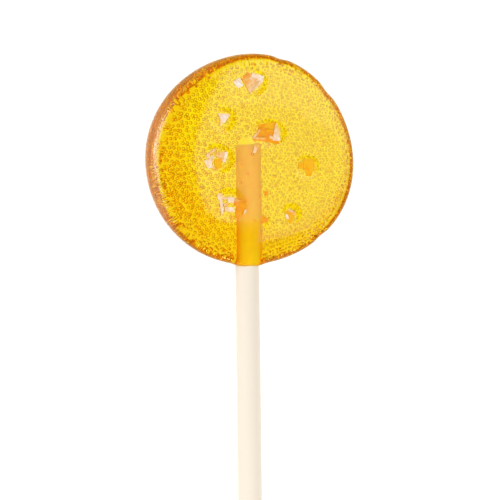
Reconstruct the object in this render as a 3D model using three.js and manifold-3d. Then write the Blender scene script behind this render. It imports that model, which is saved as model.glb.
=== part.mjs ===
// A honey lollipop lying on its back: a clear cast candy disc with salt flakes set in its face, on a paper stick.
// Millimetres, +Z up. The origin is the disc's centre on the resting plane. The stick points to -Y, the face is up.
import * as THREE from "three";
import { ConvexGeometry } from "three/addons/geometries/ConvexGeometry.js";
import { mergeVertices } from "three/addons/utils/BufferGeometryUtils.js";
import Module from "manifold-3d";

// The candy disc.
const DISC_DIAMETER = 50.8;
const DISC_THICKNESS = 8.2;
const FACE_DOME = 0.53; // fall of the face from its middle to its edge
const FACE_RADIUS = 21.7; // where the face turns into the rounded rim at the left
const WIDE_FACE_RADIUS = 24.0; // where the face turns into the rounded rim elsewhere
const WIDE_ROUND_PLACE = 160; // where around the disc the rim's rounding is wide, in degrees
const WIDE_ROUND_SPREAD = 60; // half width of that stretch, in degrees
const BACK_ROUND = 5.0; // width of the rounding between the rim and the flat back
const BACK_HEIGHT = 3.4; // height of that rounding
const BACK_FULLNESS = 1.3; // 1 makes the back's rounding an ellipse and 2 a straight slope
const SLANT_PLACE = 150; // where around the disc the back's rounding is a straighter slant, in degrees
const SLANT_SPREAD = 52; // half width of that stretch, in degrees
const SLANT_ROUND = 4.2; // width of the rounding there
const SLANT_FULLNESS = 1.8;
const DISC_STEPS = 120;
const FRONT_ROUND_STEPS = 9;
const BACK_ROUND_STEPS = 9;
const DOME_STEPS = 6;

// The slow waves in the disc's outline: how many around, how high, and where the first crest is in degrees.
const OUTLINE_WAVES = [
  { count: 3, height: 0.15, crest: -32 },
  { count: 4, height: 0.17, crest: -23 },
];

// The shallow nicks in the disc's outline: place in degrees, depth, and half width in degrees.
const OUTLINE_NICKS = [
  { place: 73, depth: 0.3, spread: 3.5 },
  { place: 41, depth: 0.35, spread: 4.5 },
  { place: -48, depth: 0.3, spread: 4 },
];

// The paper stick.
const STICK_DIAMETER = 5.8;
const STICK_LENGTH = 152.4;
const STICK_TOP = 3.7; // the buried end, measured from the disc's centre towards +Y
const STICK_OFFSET = -0.8; // the stick sits a little to one side of the disc's middle
const STICK_HEIGHT = 4.0; // the stick's axis above the resting plane
const STICK_CHAMFER = 0.25;
const STICK_STEPS = 48;
const FIT_GAP = 0.3; // room between the stick and the candy around it

// The collar of candy that climbs the stick where it leaves the disc.
const COLLAR_RADIUS = 3.8;
const COLLAR_REACH = 0.5; // how far it runs past the disc's outline
const COLLAR_TIP_RADIUS = 3.5;
const COLLAR_ROOT = 6.2; // how far it starts inside the outline
const COLLAR_STEPS = 40;

// The salt flakes on the face are heaps of small shards. A shard is a wedge: its middle, its length, its width at the
// start and at the end, the turn of its length in degrees, and its height above the face at the start and at the end.
const SHARD_FOOT = 0.5; // how deep a shard reaches below the face
const SHARD_CROOK = 0.05; // how far a corner may stray to the side
const SHARD_CROOK_UP = 0.06; // how far a corner may stray up or down
const SHARDS = [
  // The large kite near the top and the small diamond beside it.
  { x: -0.3, y: 19, length: 3.9, width: 2.2, endWidth: 4.9, turn: -39, rise: 0.25, endRise: 0.4 },
  { x: 1.4, y: 19.9, length: 3.1, width: 1, endWidth: 1.3, turn: -21, rise: 0.45, endRise: 0.6 },
  { x: 1.2, y: 17.7, length: 3.9, width: 0.7, endWidth: 0.5, turn: -136, rise: 0.55, endRise: 0.45 },
  { x: 0, y: 19.2, length: 1.7, width: 0.5, endWidth: 0.5, turn: -46, rise: 0.5, endRise: 0.5 },
  { x: -3.3, y: 18.4, length: 2, width: 1.8, endWidth: 1.4, turn: -58, rise: 0.5, endRise: 0.45 },
  { x: -3.1, y: 18.2, length: 1.6, width: 0.6, endWidth: 0.6, turn: -32, rise: 0.6, endRise: 0.55 },
  // The triangle at the upper left, with its tail.
  { x: -7, y: 10.1, length: 2.1, width: 3.1, endWidth: 0.5, turn: -94, rise: 0.4, endRise: 0.5 },
  { x: -7.7, y: 9, length: 1.5, width: 1, endWidth: 0.6, turn: -105, rise: 0.3, endRise: 0.2 },
  // The long amber plate above the stick's end, with a white corner and a pale edge, and the bit below it.
  { x: 3.6, y: 5.8, length: 3.1, width: 4.5, endWidth: 6.5, turn: -99, rise: 0.2, endRise: 0.3 },
  { x: 3.6, y: 7.9, length: 1.8, width: 4.4, endWidth: 4.6, turn: -80, rise: 0.1, endRise: 0.15 },
  { x: 5.8, y: 6.6, length: 4.1, width: 0.5, endWidth: 1.9, turn: -90, rise: 0.4, endRise: 0.5 },
  { x: 0.9, y: 6.1, length: 2.8, width: 0.5, endWidth: 0.5, turn: 52, rise: 0.35, endRise: 0.3 },
  { x: 2, y: 5.1, length: 2.6, width: 0.7, endWidth: 0.6, turn: 1, rise: 0.4, endRise: 0.4 },
  { x: 4.7, y: 5.3, length: 1.4, width: 0.7, endWidth: 0.6, turn: -25, rise: 0.4, endRise: 0.4 },
  { x: 0.6, y: 2.4, length: 1.6, width: 1.2, endWidth: 0.6, turn: -109, rise: 0.3, endRise: 0.35 },
  // The hollow flake at the left, with an amber middle.
  { x: -10.2, y: 2, length: 2.9, width: 0.6, endWidth: 0.6, turn: -144, rise: 0.45, endRise: 0.5 },
  { x: -10.5, y: 0.5, length: 2, width: 0.6, endWidth: 0.6, turn: -38, rise: 0.5, endRise: 0.4 },
  { x: -9.9, y: 0.7, length: 0.8, width: 0.8, endWidth: 0.8, turn: -46, rise: 0.35, endRise: 0.35 },
  { x: -10.8, y: -0.8, length: 2.1, width: 1.6, endWidth: 1.2, turn: -70, rise: 0.5, endRise: 0.45 },
  { x: -9.4, y: -1.9, length: 1.6, width: 0.6, endWidth: 0.5, turn: -17, rise: 0.35, endRise: 0.25 },
  { x: -7.9, y: 1.1, length: 2.5, width: 0.7, endWidth: 2.8, turn: -15, rise: 0.3, endRise: 0.5 },
  { x: -6.8, y: 0.8, length: 2.5, width: 0.7, endWidth: 0.6, turn: -105, rise: 0.6, endRise: 0.55 },
  { x: -8.5, y: -0.8, length: 2.2, width: 1.5, endWidth: 1.7, turn: -81, rise: 0.1, endRise: 0.1 },
  // The flake of bars and blocks at the lower left, with an amber piece over the stick.
  { x: -8.2, y: -8.7, length: 1.6, width: 1.2, endWidth: 1.1, turn: -86, rise: 0.45, endRise: 0.45 },
  { x: -7.8, y: -11.1, length: 3.6, width: 0.7, endWidth: 0.7, turn: -84, rise: 0.5, endRise: 0.5 },
  { x: -7, y: -9.1, length: 1.6, width: 0.6, endWidth: 0.6, turn: -4, rise: 0.4, endRise: 0.4 },
  { x: -5.5, y: -9.5, length: 1.6, width: 1.3, endWidth: 1.4, turn: -3, rise: 0.5, endRise: 0.5 },
  { x: -3.7, y: -9.7, length: 2.1, width: 0.6, endWidth: 0.5, turn: -7, rise: 0.3, endRise: 0.2 },
  { x: -5.9, y: -11.8, length: 2.3, width: 1.1, endWidth: 1.2, turn: -5, rise: 0.45, endRise: 0.45 },
  { x: -6.9, y: -10.7, length: 1.1, width: 0.8, endWidth: 0.7, turn: 3, rise: 0.3, endRise: 0.3 },
  { x: -3.3, y: -10.7, length: 2.9, width: 1, endWidth: 1.6, turn: -10, rise: 0.1, endRise: 0.1 },
  { x: -3.5, y: -12.2, length: 3.5, width: 2.1, endWidth: 1, turn: -103, rise: 0.1, endRise: 0.1 },
  { x: -2.1, y: -12.5, length: 1.1, width: 0.5, endWidth: 0.5, turn: -115, rise: 0.25, endRise: 0.25 },
  // The amber flake at the right.
  { x: 11.8, y: -1.5, length: 1.1, width: 1.6, endWidth: 1.5, turn: -1, rise: 0.1, endRise: 0.1 },
  { x: 13.8, y: -1.4, length: 2.8, width: 2.9, endWidth: 3, turn: -2, rise: 0.1, endRise: 0.1 },
  { x: 13.8, y: -3.4, length: 1.4, width: 1.9, endWidth: 1.2, turn: -95, rise: 0.1, endRise: 0.1 },
  // The small amber kite at the lower right, with white spots.
  { x: 9.1, y: -13.9, length: 3.2, width: 2.9, endWidth: 0.6, turn: -87, rise: 0.2, endRise: 0.25 },
  { x: 8.3, y: -13.8, length: 1.2, width: 0.5, endWidth: 0.5, turn: -72, rise: 0.35, endRise: 0.35 },
  { x: 9.3, y: -12.5, length: 1.3, width: 0.5, endWidth: 0.5, turn: -16, rise: 0.35, endRise: 0.35 },
  { x: 9.9, y: -13, length: 1, width: 0.6, endWidth: 0.5, turn: -107, rise: 0.35, endRise: 0.35 },
  // The two bits at the stick's right side.
  { x: 3.2, y: -8.1, length: 0.9, width: 1, endWidth: 1, turn: -1, rise: 0.1, endRise: 0.1 },
  { x: 2.9, y: -14.5, length: 1.4, width: 1.9, endWidth: 0.8, turn: -5, rise: 0.1, endRise: 0.1 },
];

const CANDY_COLOUR = 0xf7c21e;
const PAPER_COLOUR = 0xf6ecdc;

const wasm = await Module();
wasm.setup();

// A closed geometry as a solid that can be joined and cut.
function solidFrom(geometry) {
  const bare = geometry.clone();
  bare.deleteAttribute("normal");
  bare.deleteAttribute("uv");
  const merged = mergeVertices(bare, 1e-4);
  return new wasm.Manifold(
    new wasm.Mesh({
      numProp: 3,
      vertProperties: new Float32Array(merged.attributes.position.array),
      triVerts: new Uint32Array(merged.index.array),
    }),
  );
}

// The geometry of a solid, for a mesh.
function geometryFrom(solid) {
  const made = solid.getMesh();
  const geometry = new THREE.BufferGeometry();
  geometry.setAttribute("position", new THREE.BufferAttribute(new Float32Array(made.vertProperties), 3));
  geometry.setIndex(new THREE.BufferAttribute(new Uint32Array(made.triVerts), 1));
  geometry.computeVertexNormals();
  return geometry;
}

// A repeatable draw from -1 to 1.
function draw(seed, step) {
  const wave = Math.sin(seed * 12.9898 + step * 78.233) * 43758.5453;
  return 2 * (wave - Math.floor(wave)) - 1;
}

// An angle in degrees brought between -180 and 180.
function turnedAngle(degrees) {
  return THREE.MathUtils.euclideanModulo(degrees + 180, 360) - 180;
}

// The outline's radius at an angle in radians.
function outlineRadius(angle) {
  let radius = DISC_DIAMETER / 2;
  for (const wave of OUTLINE_WAVES) {
    radius += wave.height * Math.cos(wave.count * (angle - THREE.MathUtils.degToRad(wave.crest)));
  }
  for (const nick of OUTLINE_NICKS) {
    const away = turnedAngle(THREE.MathUtils.radToDeg(angle) - nick.place);
    radius -= nick.depth * Math.exp(-((away / nick.spread) ** 2));
  }
  return radius;
}

const discRadius = DISC_DIAMETER / 2;

// The face's height at a distance from the disc's axis.
function faceHeight(radius) {
  return DISC_THICKNESS - FACE_DOME * (radius / FACE_RADIUS) ** 4;
}

// How far an angle in radians lies within a stretch of the rim, from 0 to 1.
function stretchShare(angle, place, spread) {
  const away = turnedAngle(THREE.MathUtils.radToDeg(angle) - place) / spread;
  return Math.exp(-(away ** 4));
}

// The disc's profile at an angle in radians, from the middle of the back to the middle of the face.
function discProfile(angle) {
  const points = [new THREE.Vector2(0, 0)];
  const slant = stretchShare(angle, SLANT_PLACE, SLANT_SPREAD);
  const round = THREE.MathUtils.lerp(BACK_ROUND, SLANT_ROUND, slant);
  const fullness = THREE.MathUtils.lerp(BACK_FULLNESS, SLANT_FULLNESS, slant);
  for (let i = 0; i <= BACK_ROUND_STEPS; i++) {
    const turn = ((i / BACK_ROUND_STEPS) * Math.PI) / 2;
    const out = Math.sin(turn) ** fullness;
    const up = Math.cos(turn) ** fullness;
    points.push(new THREE.Vector2(discRadius - round * (1 - out), BACK_HEIGHT * (1 - up)));
  }
  const wide = stretchShare(angle, WIDE_ROUND_PLACE, WIDE_ROUND_SPREAD);
  const edge = THREE.MathUtils.lerp(WIDE_FACE_RADIUS, FACE_RADIUS, wide);
  const slope = Math.atan((4 * FACE_DOME * edge ** 3) / FACE_RADIUS ** 4);
  const bend = (discRadius - edge) / (1 - Math.sin(slope));
  for (let i = 0; i <= FRONT_ROUND_STEPS; i++) {
    const turn = THREE.MathUtils.lerp(Math.PI / 2, slope, i / FRONT_ROUND_STEPS);
    points.push(
      new THREE.Vector2(
        edge + bend * (Math.sin(turn) - Math.sin(slope)),
        faceHeight(edge) - bend * (Math.cos(slope) - Math.cos(turn)),
      ),
    );
  }
  for (let i = 1; i <= DOME_STEPS; i++) {
    const radius = edge * (1 - i / DOME_STEPS);
    points.push(new THREE.Vector2(radius, faceHeight(radius)));
  }
  return points;
}

// The disc: a turned body whose outline and profile are then drawn to their own shape at each angle.
function discSolid() {
  const geometry = new THREE.LatheGeometry(discProfile(0), DISC_STEPS);
  const position = geometry.attributes.position;
  const rows = position.count / (DISC_STEPS + 1);
  for (let i = 0; i <= DISC_STEPS; i++) {
    const angle = ((i % DISC_STEPS) / DISC_STEPS) * 2 * Math.PI;
    const share = outlineRadius(angle) / discRadius;
    discProfile(angle).forEach((point, j) => {
      const radius = point.x * share;
      position.setXYZ(i * rows + j, radius * Math.cos(angle), radius * Math.sin(angle), point.y);
    });
  }
  return solidFrom(geometry);
}

// A round bar along the stick's axis, from one Y to another, with a radius at each end.
function barAlongStick(fromY, toY, fromRadius, toRadius, steps) {
  const geometry = new THREE.CylinderGeometry(toRadius, fromRadius, toY - fromY, steps);
  geometry.translate(STICK_OFFSET, (fromY + toY) / 2, 0);
  geometry.translate(0, 0, STICK_HEIGHT);
  return geometry;
}

// The outline's lowest Y where the stick leaves the disc.
const exitY = -outlineRadius(-Math.PI / 2);

function collarSolid() {
  const straight = barAlongStick(exitY, exitY + COLLAR_ROOT, COLLAR_RADIUS, COLLAR_RADIUS, COLLAR_STEPS);
  const taper = barAlongStick(exitY - COLLAR_REACH, exitY + 0.2, COLLAR_TIP_RADIUS, COLLAR_RADIUS, COLLAR_STEPS);
  return solidFrom(straight).add(solidFrom(taper));
}

// The pocket in the candy that takes the stick.
function pocketSolid() {
  const radius = STICK_DIAMETER / 2 + FIT_GAP;
  return solidFrom(barAlongStick(exitY - 10, STICK_TOP + FIT_GAP, radius, radius, STICK_STEPS));
}

// A shard of salt: a slightly crooked wedge that stands out of the face.
function shardSolid(shard, seed) {
  const points = [];
  for (const foot of [false, true]) {
    for (const end of [false, true]) {
      for (const side of [-0.5, 0.5]) {
        const step = points.length % 4;
        const along = end ? shard.length / 2 : -shard.length / 2;
        const across = side * (end ? shard.endWidth : shard.width);
        const up = end ? shard.endRise : shard.rise;
        const point = new THREE.Vector3(along, across, foot ? -SHARD_FOOT : up);
        point.applyAxisAngle(new THREE.Vector3(0, 0, 1), THREE.MathUtils.degToRad(shard.turn));
        point.x += SHARD_CROOK * draw(seed, step);
        point.y += SHARD_CROOK * draw(seed, step + 10);
        point.z += SHARD_CROOK_UP * draw(seed, step + 20);
        points.push(point);
      }
    }
  }
  const geometry = new ConvexGeometry(points);
  geometry.translate(shard.x, shard.y, faceHeight(Math.hypot(shard.x, shard.y)));
  return solidFrom(geometry);
}

function candySolid() {
  let candy = discSolid().add(collarSolid());
  SHARDS.forEach((shard, i) => {
    candy = candy.add(shardSolid(shard, i + 1));
  });
  return candy.subtract(pocketSolid());
}

// The stick's profile about its own axis, with a small chamfer at each end.
function stickGeometry() {
  const radius = STICK_DIAMETER / 2;
  const profile = [
    new THREE.Vector2(0, STICK_TOP - STICK_LENGTH),
    new THREE.Vector2(radius - STICK_CHAMFER, STICK_TOP - STICK_LENGTH),
    new THREE.Vector2(radius, STICK_TOP - STICK_LENGTH + STICK_CHAMFER),
    new THREE.Vector2(radius, STICK_TOP - STICK_CHAMFER),
    new THREE.Vector2(radius - STICK_CHAMFER, STICK_TOP),
    new THREE.Vector2(0, STICK_TOP),
  ];
  const geometry = new THREE.LatheGeometry(profile, STICK_STEPS);
  geometry.translate(STICK_OFFSET, 0, STICK_HEIGHT);
  return geometry;
}

const lollipop = new THREE.Group();
lollipop.name = "honey_lollipop";

const candy = new THREE.Mesh(
  geometryFrom(candySolid()),
  new THREE.MeshStandardMaterial({ color: CANDY_COLOUR, roughness: 0.08, metalness: 0 }),
);
candy.name = "candy";
lollipop.add(candy);

const stick = new THREE.Mesh(
  stickGeometry(),
  new THREE.MeshStandardMaterial({ color: PAPER_COLOUR, roughness: 0.85, metalness: 0 }),
);
stick.name = "stick";
lollipop.add(stick);

export default lollipop;
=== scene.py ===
"""A honey lollipop lying on its back: clear candy with bubbles and salt flakes, on a rolled paper stick."""

import math
from collections import namedtuple

import bmesh
import bpy
from mathutils import Matrix, Vector


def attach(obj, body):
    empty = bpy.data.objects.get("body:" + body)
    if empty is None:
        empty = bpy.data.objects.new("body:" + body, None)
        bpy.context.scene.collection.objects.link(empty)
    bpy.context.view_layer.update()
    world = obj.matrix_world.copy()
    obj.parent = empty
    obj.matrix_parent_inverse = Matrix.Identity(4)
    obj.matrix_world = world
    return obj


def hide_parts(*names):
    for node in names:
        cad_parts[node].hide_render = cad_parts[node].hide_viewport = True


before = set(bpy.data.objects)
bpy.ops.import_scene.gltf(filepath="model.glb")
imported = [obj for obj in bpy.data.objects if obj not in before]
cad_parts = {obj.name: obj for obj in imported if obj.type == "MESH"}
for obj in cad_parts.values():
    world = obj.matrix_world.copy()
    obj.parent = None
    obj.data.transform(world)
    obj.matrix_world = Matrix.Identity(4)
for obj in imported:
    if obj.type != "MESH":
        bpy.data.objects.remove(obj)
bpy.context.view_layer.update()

bl_info = {
    "name": "Honey Lollipop",
    "version": (1, 0, 0),
    "blender": (4, 5, 0),
    "location": "View3D > Sidebar > Lollipop",
    "description": "Builds a clear honey lollipop with bubbles, salt flakes and a rolled paper stick",
    "category": "Add Mesh",
}

MM = 0.001
WHITE = (1, 1, 1, 1)

# The disc's mesh: columns around it, and rows on the back, its rounding, the side, the bend and the face.
CANDY_COLUMNS = 360
BACK_ROWS = 24
ROUND_ROWS = 18
SIDE_ROWS = 4
BEND_ROWS = 20
FACE_ROWS = 60

# How far the rounding at the back is flattened towards a slope: 1 is an ellipse, 2 a straight slope.
BACK_FULLNESS = 1.3
# The stretch where that rounding is a straighter slant: place and half width in degrees, and then its
# width in mm and how far it is flattened.
SLANT = (150.0, 52.0)
SLANT_WIDTH = 4.2
SLANT_FULLNESS = 1.8
# The stretch where the rounding at the front is wide: place and half width in degrees.
WIDE_FRONT = (160.0, 60.0)
# The collar at the stick, in metres: half width, how far it stands out, and its front and back rounding.
COLLAR_WIDTH = 0.0037
COLLAR_REACH = 0.0005
COLLAR_FRONT = 0.0009
COLLAR_BACK = 0.0008

# The slow waves in the disc's outline: how many around, height in mm, and the first crest in degrees.
OUTLINE_WAVES = ((3, 0.15, -32.0), (4, 0.17, -23.0))
# The shallow nicks in the outline: place in degrees, depth in mm, half width in degrees.
OUTLINE_NICKS = ((73.0, 0.3, 3.5), (41.0, 0.35, 4.5), (-48.0, 0.3, 4.0))

# A shard of a salt flake, in mm and degrees. Its tone goes from white 0 over amber to gold 1.
Shard = namedtuple("Shard", "x y length width end_width turn rise end_rise tone end_tone")
SHARDS = (
    # The large kite near the top and the small diamond beside it.
    (-0.3, 19.0, 3.9, 2.2, 4.9, -39, 0.25, 0.4, 0.65, 0.4),
    (1.4, 19.9, 3.1, 1.0, 1.3, -21, 0.45, 0.6, 0.3, 0.1),
    (1.2, 17.7, 3.9, 0.7, 0.5, -136, 0.55, 0.45, 0.2, 0.5),
    (0.0, 19.2, 1.7, 0.5, 0.5, -46, 0.5, 0.5, 0.35, 0.25),
    (-3.3, 18.4, 2.0, 1.8, 1.4, -58, 0.5, 0.45, 0.15, 0.1),
    (-3.1, 18.2, 1.6, 0.6, 0.6, -32, 0.6, 0.55, 0.0, 0.1),
    # The triangle at the upper left, with its tail.
    (-7.0, 10.1, 2.1, 3.1, 0.5, -94, 0.4, 0.5, 0.25, 0.1),
    (-7.7, 9.0, 1.5, 1.0, 0.6, -105, 0.3, 0.2, 0.35, 0.45),
    # The long amber plate above the stick's end, with a white corner and a pale edge, and the bit below it.
    (3.6, 5.8, 3.1, 4.5, 6.5, -99, 0.2, 0.3, 0.85, 0.75),
    (3.6, 7.9, 1.8, 4.4, 4.6, -80, 0.1, 0.15, 0.95, 0.95),
    (5.8, 6.6, 4.1, 0.5, 1.9, -90, 0.4, 0.5, 0.45, 0.2),
    (0.9, 6.1, 2.8, 0.5, 0.5, 52, 0.35, 0.3, 0.35, 0.5),
    (2.0, 5.1, 2.6, 0.7, 0.6, 1, 0.4, 0.4, 0.5, 0.55),
    (4.7, 5.3, 1.4, 0.7, 0.6, -25, 0.4, 0.4, 0.4, 0.35),
    (0.6, 2.4, 1.6, 1.2, 0.6, -109, 0.3, 0.35, 0.5, 0.2),
    # The hollow flake at the left, with an amber middle.
    (-10.2, 2.0, 2.9, 0.6, 0.6, -144, 0.45, 0.5, 0.5, 0.35),
    (-10.5, 0.5, 2.0, 0.6, 0.6, -38, 0.5, 0.4, 0.3, 0.4),
    (-9.9, 0.7, 0.8, 0.8, 0.8, -46, 0.35, 0.35, 0.15, 0.2),
    (-10.8, -0.8, 2.1, 1.6, 1.2, -70, 0.5, 0.45, 0.25, 0.2),
    (-9.4, -1.9, 1.6, 0.6, 0.5, -17, 0.35, 0.25, 0.45, 0.55),
    (-7.9, 1.1, 2.5, 0.7, 2.8, -15, 0.3, 0.5, 0.5, 0.4),
    (-6.8, 0.8, 2.5, 0.7, 0.6, -105, 0.6, 0.55, 0.1, 0.25),
    (-8.5, -0.8, 2.2, 1.5, 1.7, -81, 0.1, 0.1, 1.1, 1.0),
    # The flake of bars and blocks at the lower left, with an amber piece over the stick.
    (-8.2, -8.7, 1.6, 1.2, 1.1, -86, 0.45, 0.45, 0.35, 0.25),
    (-7.8, -11.1, 3.6, 0.7, 0.7, -84, 0.5, 0.5, 0.25, 0.3),
    (-7.0, -9.1, 1.6, 0.6, 0.6, -4, 0.4, 0.4, 0.4, 0.35),
    (-5.5, -9.5, 1.6, 1.3, 1.4, -3, 0.5, 0.5, 0.2, 0.25),
    (-3.7, -9.7, 2.1, 0.6, 0.5, -7, 0.3, 0.2, 0.6, 0.7),
    (-5.9, -11.8, 2.3, 1.1, 1.2, -5, 0.45, 0.45, 0.3, 0.2),
    (-6.9, -10.7, 1.1, 0.8, 0.7, 3, 0.3, 0.3, 0.4, 0.45),
    (-3.3, -10.7, 2.9, 1.0, 1.6, -10, 0.1, 0.1, 0.75, 0.8),
    (-3.5, -12.2, 3.5, 2.1, 1.0, -103, 0.1, 0.1, 0.75, 0.8),
    (-2.1, -12.5, 1.1, 0.5, 0.5, -115, 0.25, 0.25, 0.35, 0.45),
    # The amber flake at the right.
    (11.8, -1.5, 1.1, 1.6, 1.5, -1, 0.1, 0.1, 0.95, 0.95),
    (13.8, -1.4, 2.8, 2.9, 3.0, -2, 0.1, 0.1, 1.05, 0.95),
    (13.8, -3.4, 1.4, 1.9, 1.2, -95, 0.1, 0.1, 0.95, 0.9),
    # The small amber kite at the lower right, with white spots.
    (9.1, -13.9, 3.2, 2.9, 0.6, -87, 0.2, 0.25, 0.95, 1.0),
    (8.3, -13.8, 1.2, 0.5, 0.5, -72, 0.35, 0.35, 0.1, 0.15),
    (9.3, -12.5, 1.3, 0.5, 0.5, -16, 0.35, 0.35, 0.3, 0.4),
    (9.9, -13.0, 1.0, 0.6, 0.5, -107, 0.35, 0.35, 0.55, 0.5),
    # The two bits at the stick's right side.
    (3.2, -8.1, 0.9, 1.0, 1.0, -1, 0.1, 0.1, 0.75, 0.75),
    (2.9, -14.5, 1.4, 1.9, 0.8, -5, 0.1, 0.1, 0.75, 0.75),
)
# How deep a shard's foot goes and how far its corners stray along X, Y and Z, in mm.
SHARD_FOOT = 0.5
SHARD_CROOK = (0.05, 0.05, 0.06)
# The bevel of a shard's edges in metres, and how much deeper the tone of its foot is.
SHARD_BEVEL = 0.00005
FOOT_TONE = 0.3

# Where the face dips around the flakes, in mm: middle and half sizes.
DIPS = (
    (-1.0, 18.6, 3.6, 2.8),
    (-7.3, 9.8, 2.0, 1.9),
    (3.6, 6.4, 3.6, 2.4),
    (-8.8, 0.3, 3.0, 2.6),
    (-5.9, -10.6, 3.0, 2.6),
    (9.2, -13.5, 1.5, 1.7),
    (13.3, -1.9, 2.2, 1.9),
)
# How deep a dip is and how far it runs out, in mm, and the share of the thickness above which points dip.
DIP_DEPTH = 0.16
DIP_FADE = 0.8
DIP_ABOVE = 0.8

# Where the stick starts to be soaked and over what length, in mm, and how far it then leans, in metres.
SOAK_START = -25.6
SOAK_LENGTH = 3.2
SOAK_LEAN = 0.00035
# The stick's mesh: points around it, rings along it, and laps that show at its ends.
STICK_AROUND = 96
STICK_RINGS = 80
STICK_LAPS = 14
# The paper's outer lap: its step in metres, and its place as a share of the way around.
LAP_STEP = 0.00006
LAP_PLACE = 0.36
# The stick's ends: rounding and step of the laps in metres, and the share of the radius that the laps fill.
END_ROUND = 0.0002
END_STEP = 0.00005
END_SHARE = 0.94
# The stick's pocket, in metres: how much narrower than the stick it is, and where its cut starts along Y.
POCKET_INSET = 0.00014
POCKET_FOOT = -0.045
POCKET_RINGS = 60

# The bubbles' tree has these lengths and shares as named inputs.
BUBBLE_INPUTS = (
    "Flat Radius", "Round Width", "Round Height", "Fullness", "Cover", "Spacing", "Jitter", "Bubble Radius",
    "Layer Height", "Layer Depth", "Drift", "Size Drift", "Turn", "Flatness", "Middle X", "Middle Y",
    "Reach", "Stick X", "Stick Top", "Stick Height", "Stick Clear",
)

# How strongly the candy bends light.
CANDY_IOR = 1.5
# Where the candy's skin changes, in metres: each pair is the start and the end of a change.
# The rough rim, the rim whose gloss is tinted, and all but the far left.
ROUGH_RADIUS = (0.0215, 0.0235)
GLOSS_RADIUS = (0.0238, 0.0245)
NOT_LEFT_X = (-0.0235, -0.018)
# The painted shade of the skin, by the distance from the spot where the key light's reflection lies.
LIT_SPOT = (0.004, 0.004, 0)
SHADE_DISTANCE = (0.0195, 0.0225)
# The strip at the rim's left, with a painted reflection of the left softbox, and its glossy upper part.
STRIP_X = (-0.018, -0.0222)
STRIP_RADIUS = (0.0222, 0.0232)
STRIP_GLOSS_Z = (0.0057, 0.0065)
# The arc of painted shade in that strip, where the back edge shows through: its middle and radius, and where
# it fades across, by height and along X.
ARC_MIDDLE = (0.0035, 0, 0)
ARC_RADIUS = 0.02835
ARC_ACROSS = (0.0004, 0.0002)
ARC_Z = (0.0045, 0.005)
ARC_X = (-0.015, -0.02)
# The painted shade at the rim's right, and the fainter painted line along its edge, but for the far left.
RIGHT_X = (0.012, 0.023)
RIGHT_RADIUS = (0.0232, 0.0248)
LINE_RADIUS = (0.0247, 0.0253)
# The painted shade on both sides of the stick: its distance from the stick's axis, and where it fades.
BESIDE_STICK = 0.0043
BESIDE_ACROSS = (0.0018, 0.0009)
BESIDE_Y = (-0.0225, -0.0238)
# The painted brown shade where the rim is steep: the upward part of its normal, and where it fades.
STEEP_NORMAL = (0.85, 0.5)
STEEP_Z = (0.0036, 0.0042)
STEEP_RADIUS = (0.0242, 0.0249)
# The part of the crinkles' noise that makes streaks.
STREAK_NOISE = (0.42, 0.58)

# Where a bubble's skin gets painted shade on its sides: by the upward part of its normal, and more towards
# the left.
SIDE_NORMAL = (0.85, 0.45)
SIDE_LEFT_X = (-0.004, -0.016)

# Where the paper gets soaked and starts its painted glow along Y, where the rim's honey colour ends along Y,
# and where its sides with painted shade end.
PAPER_SOAK_Y = (-0.0258, -0.0251)
PAPER_DEEP_Y = (-0.018, -0.011)
PAPER_SHADE_Z = (0.0047, 0.0066)

# The lights that shine straight down: place, width along X and along Y in metres, and brightness setting.
DOWN_LIGHTS = (
    ("key_softbox", 0.75, 0.2325, 0.8, 1.315, 0.635, "key_light"),
    ("key_foot", 0.795, -0.1275, 0.8, 1.21, 0.085, "key_light"),
    ("top_softbox", 0.35, 0.175, 0.79, 0.44, 0.23, "top_light"),
    ("left_softbox", -1.6, 0.125, 0.8, 2.0, 0.75, "left_light"),
    ("left_core", -1.75, 0.24, 0.79, 0.9, 0.24, "core_light"),
    ("left_wing", -1.55, 0.66, 0.8, 1.1, 0.3, "wing_light"),
)
RIGHT_PANEL_TILT = math.radians(74)
FLOOR_SIDE = 3.0
FLOOR_LEVEL = -0.00005

# The camera, in degrees: its tilt from straight above, the way it leans, and its roll.
CAMERA_TILT = 12
CAMERA_WAY = 169
CAMERA_ROLL = -0.71
# The picture: its side in pixels, the size of a pixel in metres, and the disc's place in pixels.
PICTURE_SIDE = 500
PIXEL = 0.0002417
DISC_SPOT = (248.9, 159.7)


def a_length(name, description, default):
    return bpy.props.FloatProperty(
        name=name, description=description, default=default, unit="LENGTH", precision=5
    )


def a_number(name, description, default):
    return bpy.props.FloatProperty(name=name, description=description, default=default)


def a_colour(name, description, default):
    return bpy.props.FloatVectorProperty(
        name=name, description=description, default=(*default, 1.0), subtype="COLOR", size=4,
        min=0.0, max=1.0,
    )


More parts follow.
